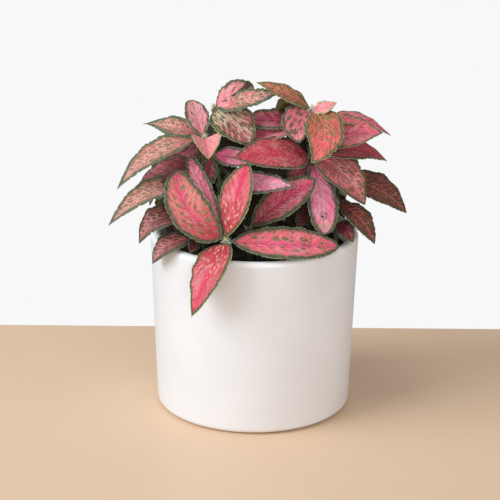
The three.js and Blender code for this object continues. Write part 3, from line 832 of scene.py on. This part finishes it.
def joined(pieces, name):
    """Joins pieces into one."""
    deselect()
    for piece in pieces:
        piece.select_set(True)
    bpy.context.view_layer.objects.active = pieces[0]
    bpy.ops.object.join()
    return named(name)


def mode(name):
    bpy.ops.object.mode_set(mode=name)


def select(piece, parts, chosen):
    """Selects, in edit mode, the polygons or edges for which chosen is true."""
    bpy.ops.mesh.select_mode(type="EDGE" if parts == "edges" else "FACE")
    bpy.ops.mesh.select_all(action="DESELECT")
    mode("OBJECT")
    for part in getattr(piece.data, parts):
        part.select = chosen(part)
    mode("EDIT")


def tapered(name, sides, base_radius, top_radius, base, top):
    """A closed round piece that tapers between two heights."""
    deselect()
    bpy.ops.mesh.primitive_cone_add(
        vertices=sides,
        radius1=base_radius * MM,
        radius2=top_radius * MM,
        depth=(top - base) * MM,
        location=(0, 0, (top + base) / 2 * MM),
    )
    piece = named(name)
    applied()
    return piece


def raised(height):
    """Extrudes what is selected up or down."""
    bpy.ops.mesh.extrude_region_move(TRANSFORM_OT_translate={"value": (0, 0, height * MM)})


# Pot

def round_ring(piece, radius, height, amount, steps):
    """Rounds the ring of edges of this radius at this height."""
    def on_ring(number):
        x, y, z = piece.data.vertices[number].co / MM
        return abs(math.hypot(x, y) - radius) < RING_TOLERANCE and abs(z - height) < RING_TOLERANCE

    select(piece, "edges", lambda edge: all(on_ring(end) for end in edge.vertices))
    bpy.ops.mesh.bevel(offset=amount * MM, offset_type="OFFSET", segments=steps, affect="EDGES")


def make_pot(glaze):
    pot = tapered("ceramic_pot", POT_SIDES, POT_BASE_RADIUS, POT_TOP_RADIUS, POT_FOOT_GAP, POT_HEIGHT)
    inner_top = POT_TOP_RADIUS - POT_WALL
    inner_base = POT_BASE_RADIUS - POT_WALL
    foot_ring = POT_BASE_RADIUS - POT_FOOT_INSET
    mode("EDIT")
    select(pot, "polygons", lambda face: face.normal.z > 0.9)
    bpy.ops.mesh.inset(thickness=POT_WALL * MM)
    raised(POT_FLOOR - POT_HEIGHT)
    shrink = inner_base / inner_top
    bpy.ops.transform.resize(value=(shrink, shrink, 1))
    select(pot, "polygons", lambda face: face.normal.z < -0.9)
    bpy.ops.mesh.inset(thickness=POT_FOOT_INSET * MM)
    raised(-POT_FOOT_GAP)
    bpy.ops.mesh.inset(thickness=POT_FOOT_RING * MM)
    raised(POT_FOOT_RECESS)
    # Each ring's radius and height, how far it is rounded and in how many steps.
    rounded = [
        (POT_TOP_RADIUS, POT_HEIGHT, LIP_ROUND, 8),
        (inner_top, POT_HEIGHT, LIP_ROUND, 8),
        (POT_BASE_RADIUS, POT_FOOT_GAP, 3.7, 6),
        (inner_base, POT_FLOOR, 3, 4),
        (foot_ring, 0, 0.4, 3),
        (foot_ring - POT_FOOT_RING, 0, 0.8, 3),
    ]
    for radius, height, amount, steps in rounded:
        round_ring(pot, radius, height, amount, steps)
    mode("OBJECT")
    bpy.ops.object.shade_smooth_by_angle(angle=math.radians(POT_SMOOTHING))
    pot.data.materials.append(glaze)
    return pot


# Soil

def soil_height(x, y):
    """The uneven top of the soil, in millimetres."""
    radius = math.hypot(x, y)
    rise = SOIL_EDGE + (SOIL_CENTRE - SOIL_EDGE) * (1 - radius / SOIL_TOP_RADIUS)
    for width, height, layer in SOIL_LUMPS:
        rise += noise.noise(Vector((x / width, y / width, layer))) * height
    return rise - SOIL_SINK


def make_crumbs(places, rng):
    """One crumb of soil as an uneven lump, copied to its places."""
    deselect()
    bpy.ops.mesh.primitive_ico_sphere_add(subdivisions=1, radius=MM)
    first = named("crumb")
    for point in first.data.vertices:
        point.co *= rng.uniform(0.75, 1.25)
    crumbs = [first] + [copied(first) for _ in places[1:]]
    for crumb, (x, y, size) in zip(crumbs, places):
        turn = Matrix.Rotation(rng.uniform(0, math.tau), 4, "Z")
        turn = turn @ Matrix.Rotation(rng.uniform(0, math.tau), 4, "X")
        stretch = Matrix.Diagonal((size, size * rng.uniform(0.7, 1.1), size * rng.uniform(0.6, 0.9), 1))
        height = soil_height(x, y) + size * 0.1
        crumb.data.transform(Matrix.Translation((x * MM, y * MM, height * MM)) @ turn @ stretch)
    return crumbs


def make_soil(earth):
    """The soil that fills the pot, with a crumbly top."""
    soil = tapered("soil_fill", SOIL_SIDES, SOIL_FOOT_RADIUS, SOIL_TOP_RADIUS, SOIL_FOOT, SOIL_EDGE)
    mode("EDIT")
    select(soil, "polygons", lambda face: face.normal.z > 0.9)
    for _ in range(SOIL_RINGS):
        bpy.ops.mesh.inset(thickness=SOIL_TOP_RADIUS / (SOIL_RINGS + 1) * MM)
    bpy.ops.mesh.poke()
    mode("OBJECT")
    for point in soil.data.vertices:
        if point.co.z > (SOIL_EDGE - 1) * MM:
            point.co.z = soil_height(point.co.x / MM, point.co.y / MM) * MM
    bpy.ops.object.shade_smooth()
    rng = random.Random(SOIL_SEED)
    places = []
    for _ in range(CRUMBS):
        radius = (SOIL_TOP_RADIUS - 2) * math.sqrt(rng.random())
        angle = rng.uniform(0, math.tau)
        size = rng.uniform(*CRUMB_SIZES) ** CRUMB_SIZE_POWER
        places.append((radius * math.cos(angle), radius * math.sin(angle), size))
    soil = joined([soil, *make_crumbs(places, rng)], "soil_fill")
    soil.data.materials.append(earth)
    return soil


# Stems and stalks

def smooth_path(path):
    """Closely spaced points on a smooth curve through the path."""
    points = [Vector(point) for point in path]
    padded = [points[0] * 2 - points[1], *points, points[-1] * 2 - points[-2]]
    curve = []
    for before, start, end, after in zip(padded, padded[1:], padded[2:], padded[3:]):
        steps = max(2, round((end - start).length / STEM_STEP))
        for i in range(steps):
            t = i / steps
            point = start * 2 + (end - before) * t
            point += (before * 2 - start * 5 + end * 4 - after) * t ** 2
            point += (start * 3 - before - end * 3 + after) * t ** 3
            curve.append(point / 2)
    curve.append(points[-1])
    return curve


def rolled_tube(rings, sides):
    """A grid rolled up on rings, each a centre, two directions and a radius. Its ends stay open."""
    deselect()
    last = len(rings) - 1
    bpy.ops.mesh.primitive_grid_add(x_subdivisions=sides, y_subdivisions=last, size=2)
    piece = bpy.context.object
    for point in piece.data.vertices:
        centre, out, side, radius = rings[round((point.co.y + 1) / 2 * last)]
        angle = math.pi * point.co.x
        point.co = (centre + (out * math.cos(angle) + side * math.sin(angle)) * radius) * MM
    return piece


def stem_rings(path):
    """The rings of a stem, thicker at its nodes."""
    curve = smooth_path(path)
    nodes = [Vector(point) for point in path[1:]]
    last = len(curve) - 1
    rings = []
    for i, centre in enumerate(curve):
        along = (curve[min(i + 1, last)] - curve[max(i - 1, 0)]).normalized()
        out = along.cross(Vector((0, 1, 0))).normalized()
        radius = STEM_FOOT_RADIUS + (STEM_TOP_RADIUS - STEM_FOOT_RADIUS) * i / last
        nearest = min((centre - node).length for node in nodes)
        radius += NODE_SWELL * math.exp(-((nearest / NODE_REACH) ** 2))
        rings.append((centre, out, out.cross(along), radius))
    return rings


def midrib(foot, leaf, t):
    """The midrib's point at t of the blade's length, the way across it and the way out of its upper side."""
    chord = Vector(leaf.tip) - foot
    length = chord.length
    chord.normalize()
    level = (Vector((0, 0, 1)) - chord * chord.z).normalized()
    up = Matrix.Rotation(math.radians(leaf.roll), 3, chord) @ level
    side = chord.cross(up)
    arch = 4 * t * (1 - t) * length
    slope = 4 * (1 - 2 * t)
    point = foot + chord * (t * length) + up * (arch * leaf.bend) + side * (arch * leaf.sweep)
    along = (chord + up * (slope * leaf.bend) + side * (slope * leaf.sweep)).normalized()
    across = (side - along * along.dot(side)).normalized()
    across = Matrix.Rotation(math.radians(-leaf.twist * (t - TWIST_CENTRE)), 3, along) @ across
    return point, across, across.cross(along)


def stalk_rings(foot, leaf):
    """The rings of a leaf's stalk, which runs on under the blade as its midrib."""
    rings = []
    for i in range(STALK_STEPS + 1):
        t = STALK_REACH * i / STALK_STEPS
        point, across, out = midrib(foot, leaf, t)
        radius = STALK_RADIUS - STALK_TAPER * min(1, t / 0.9) ** 0.5
        sunk = radius * 0.9 * min(1, t / 0.12)
        rings.append((point - out * sunk, out, across, radius))
    return rings


def make_stalks(path, leaves, green):
    """A stem and its leaf stalks, with their ends closed."""
    tubes = [rolled_tube(stem_rings(path), STEM_SIDES)]
    tubes += [rolled_tube(stalk_rings(Vector(path[leaf.at]), leaf), STALK_SIDES) for leaf in leaves]
    stalks = joined(tubes, "stalks")
    mode("EDIT")
    bpy.ops.mesh.select_all(action="SELECT")
    bpy.ops.mesh.remove_doubles(threshold=WELD * MM)
    bpy.ops.mesh.fill_holes(sides=STEM_SIDES)
    bpy.ops.mesh.normals_make_consistent(inside=False)
    mode("OBJECT")
    stalks.data.materials.append(green)
    return stalks


def make_hairs(path, leaves, rng, pale):
    """Fine hairs where leaves grow from a stem: one thin cone, copied to its places."""
    first = tapered("hair", 3, HAIR_RADIUS, 0, 0, 1)
    hairs = []
    for leaf in leaves:
        for _ in range(HAIRS_PER_LEAF):
            hair = copied(first)
            out = Vector((rng.gauss(0, 1), rng.gauss(0, 1), rng.gauss(0, 0.8))).normalized()
            turn = out.to_track_quat("Z", "Y").to_matrix().to_4x4()
            stretch = Matrix.Diagonal((1, 1, rng.uniform(*HAIR_LENGTHS), 1))
            foot = Vector(path[leaf.at]) + out * (STEM_TOP_RADIUS * rng.uniform(*HAIR_FEET))
            hair.data.transform(Matrix.Translation(foot * MM) @ turn @ stretch)
            hairs.append(hair)
    bpy.data.objects.remove(first)
    hairs = joined(hairs, "hairs")
    hairs.data.materials.append(pale)
    return hairs


# Leaf blades

def bud_leaves(path, leaves):
    """Two small closed leaves at the top of a stem that has more than one leaf."""
    if len(leaves) < 2:
        return []
    top = Vector(path[-1])
    up = (top - Vector(path[-2])).normalized()
    out = up.cross(Vector((0, 1, 0))).normalized()
    tips = [top + up * BUD_LENGTH + out * (BUD_SPLAY * side) for side in (-1, 1)]
    return [Leaf(len(path) - 1, tuple(tip), BUD_WIDTH, "bud", bend=0.1, fold=30) for tip in tips]


def spread(u, leaf):
    """A blade's width at u, from its foot at 0 to its tip at 1, as a share of its widest width."""
    if u <= 0 or u >= 1:
        return 0
    rise = leaf.taper * leaf.widest / (1 - leaf.widest)
    return (u / leaf.widest) ** rise * ((1 - u) / (1 - leaf.widest)) ** leaf.taper


def blade_rows(foot, leaf, number, length, teeth):
    """For each row of a blade from its foot: its midrib, how full it is, its wave, half width and edges."""
    rng = random.Random(number)
    depths = [TOOTH_DEPTH * rng.uniform(*TOOTH_CHANCE) ** 2 for _ in range(2 * teeth + 2)]
    stations = max(FEWEST_STATIONS, round(length / STATION_SPACING))
    last = len(TOOTH_SHAPE) * teeth
    rows = []
    for row in range(last + 1):
        t = row / last
        share = spread((t - STALK_SHARE) / (1 - STALK_SHARE), leaf)
        wave = math.cos(math.pi * stations * t)
        least = TIP_HALF_WIDTH if t > 0.5 else STALK_HALF_WIDTH
        half = max(share * leaf.width / 2 * (1 + SCALLOP * wave), least)
        tooth, place_in_tooth = divmod(row, len(TOOTH_SHAPE))
        cut = TOOTH_SHAPE[place_in_tooth] * min(1, share * 2)
        edges = {}
        for side in (-1, 1):
            drift = noise.noise(Vector((t * 6, side * 5.3, number * 1.7))) * EDGE_DRIFT * half
            edges[side] = drift - cut * depths[2 * tooth + (side > 0)]
        rows.append((*midrib(foot, leaf, t), share, wave, half, edges))
    return rows


def make_blade(foot, leaf, number, finishes):
    """One blade: a grid laid on the midrib, folded, pleated along the side veins and toothed at the edge."""
    length = (Vector(leaf.tip) - foot).length
    rows = blade_rows(foot, leaf, number, length, max(FEWEST_TEETH, round(length / TOOTH_LENGTH)))
    last = len(rows) - 1
    fold = math.radians(leaf.fold)
    deselect()
    bpy.ops.mesh.primitive_grid_add(x_subdivisions=COLUMNS, y_subdivisions=last, size=2)
    piece = bpy.context.object
    mesh = piece.data
    blade, inset = [], []
    for vertex in mesh.vertices:
        v, t = vertex.co.x, (vertex.co.y + 1) / 2
        point, across, out, share, wave, half, edges = rows[round(t * last)]
        reach = abs(v)
        side = 1 if v > 0 else -1
        d = half * reach
        slant = t * length - d * VEIN_SLANT - d * d * VEIN_ARCH
        ribs = math.cos(math.tau * (slant / VEIN_SPACING + number * VEIN_PHASE))
        pleat = PLEAT * share * ribs * min(1, reach * 3)
        ruffle = EDGE_WAVE * share * wave * reach ** 2
        warp_at = Vector((t * length / WARP_LENGTH, v * half / WARP_WIDTH, number * 2.9))
        warp = WARP * share * noise.noise(warp_at)
        curl = EDGE_CURL * share * reach ** 5
        lift = half * math.sin(fold) * reach ** CREASE + pleat + ruffle + warp - curl
        sway = half * v * math.cos(fold) + side * edges[side] * reach ** 8
        vertex.co = (point + out * lift + across * sway) * MM
        blade += [t * length, half * v, number]
        inset.append(half * (1 - reach))
    mesh.attributes.new("blade", "FLOAT_VECTOR", "POINT").data.foreach_set("vector", blade)
    mesh.attributes.new("inset", "FLOAT", "POINT").data.foreach_set("value", inset)
    mesh.materials.append(finishes[leaf.finish])
    mesh.materials.append(finishes["underside"])
    wall = piece.modifiers.new("thickness", "SOLIDIFY")
    wall.thickness = BLADE_THICKNESS * MM
    wall.offset = 0
    wall.material_offset = 1
    bpy.ops.object.modifier_apply(modifier=wall.name)
    return piece


def make_leafy_stem(name, path, leaves, first_number, finishes):
    """A stem with its leaf stalks, blades and hairs as one piece."""
    stalks = make_stalks(path, leaves, finishes["stem"])
    blades = [
        make_blade(Vector(path[leaf.at]), leaf, first_number + i, finishes)
        for i, leaf in enumerate([*leaves, *bud_leaves(path, leaves)])
    ]
    hairs = make_hairs(path, leaves, random.Random(first_number), finishes["hair"])
    whole = joined([stalks, *blades, hairs], name)
    bpy.ops.object.shade_smooth_by_angle(angle=math.radians(LEAF_SMOOTHING))
    return whole


# Stage

def make_camera():
    data = bpy.data.cameras.new("camera")
    data.lens = CAMERA_LENS
    data.sensor_width = CAMERA_SENSOR
    data.shift_x = CAMERA_SHIFT
    data.clip_start, data.clip_end = CAMERA_CLIP
    camera = bpy.data.objects.new("camera", data)
    pitch = Matrix.Rotation(math.radians(90 - CAMERA_PITCH), 4, "X")
    roll = Matrix.Rotation(math.radians(CAMERA_ROLL), 4, "Z")
    camera.matrix_world = Matrix.Translation(Vector(CAMERA_PLACE) * MM) @ pitch @ roll
    bpy.context.scene.collection.objects.link(camera)
    bpy.context.scene.camera = camera


def make_world():
    """An even pale surround, brighter to the eye than as a light."""
    world = bpy.data.worlds.new("pale_surround")
    bpy.context.scene.world = world
    world.use_nodes = True
    wires = Wire(world.node_tree)
    seen = wires.node("ShaderNodeLightPath", {}, {}, "Is Camera Ray")
    strength = SURROUND_LIGHT + seen * SURROUND_SEEN
    shader = world.node_tree.nodes["Background"]
    shader.inputs["Color"].default_value = (1, 1, 1, 1)
    world.node_tree.links.new(strength.socket, shader.inputs["Strength"])
    bpy.context.scene.view_settings.view_transform = "Standard"


def make_lamp(name, place_at, size, power, colour):
    data = bpy.data.lights.new(name, "AREA")
    data.size = size
    data.energy = power
    data.color = colour
    lamp = bpy.data.objects.new(name, data)
    lamp.location = place_at
    lamp.rotation_mode = "QUATERNION"
    lamp.rotation_quaternion = (Vector(LAMP_AIM) - Vector(place_at)).to_track_quat("-Z", "Y")
    bpy.context.scene.collection.objects.link(lamp)


def make_floor():
    deselect()
    bpy.ops.mesh.primitive_cube_add(size=1, location=FLOOR_PLACE)
    bpy.ops.transform.resize(value=FLOOR_SIZE)
    floor = named("floor")
    applied()
    floor.data.materials.append(floor_finish())


make_camera()
make_world()
for lamp in LAMPS:
    make_lamp(*lamp)
make_floor()

plant_finishes = {kind: leaf_finish(kind, looks) for kind, looks in LEAF_FINISHES.items()}
plant_finishes["underside"] = underside_finish()
plant_finishes["stem"] = stem_finish()
plant_finishes["hair"] = hair_finish()

pot = make_pot(glaze_finish())
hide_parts("pot")
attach(pot, "root")

soil = make_soil(soil_finish())
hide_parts("potting_soil")
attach(soil, "root")

leaf_number = 0
for stem_name, (stem_path, *stem_leaves) in STEMS.items():
    shoot = make_leafy_stem(stem_name + "_fine", stem_path, stem_leaves, leaf_number, plant_finishes)
    leaf_number += len(stem_leaves)
    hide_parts(stem_name)
    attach(shoot, "root")
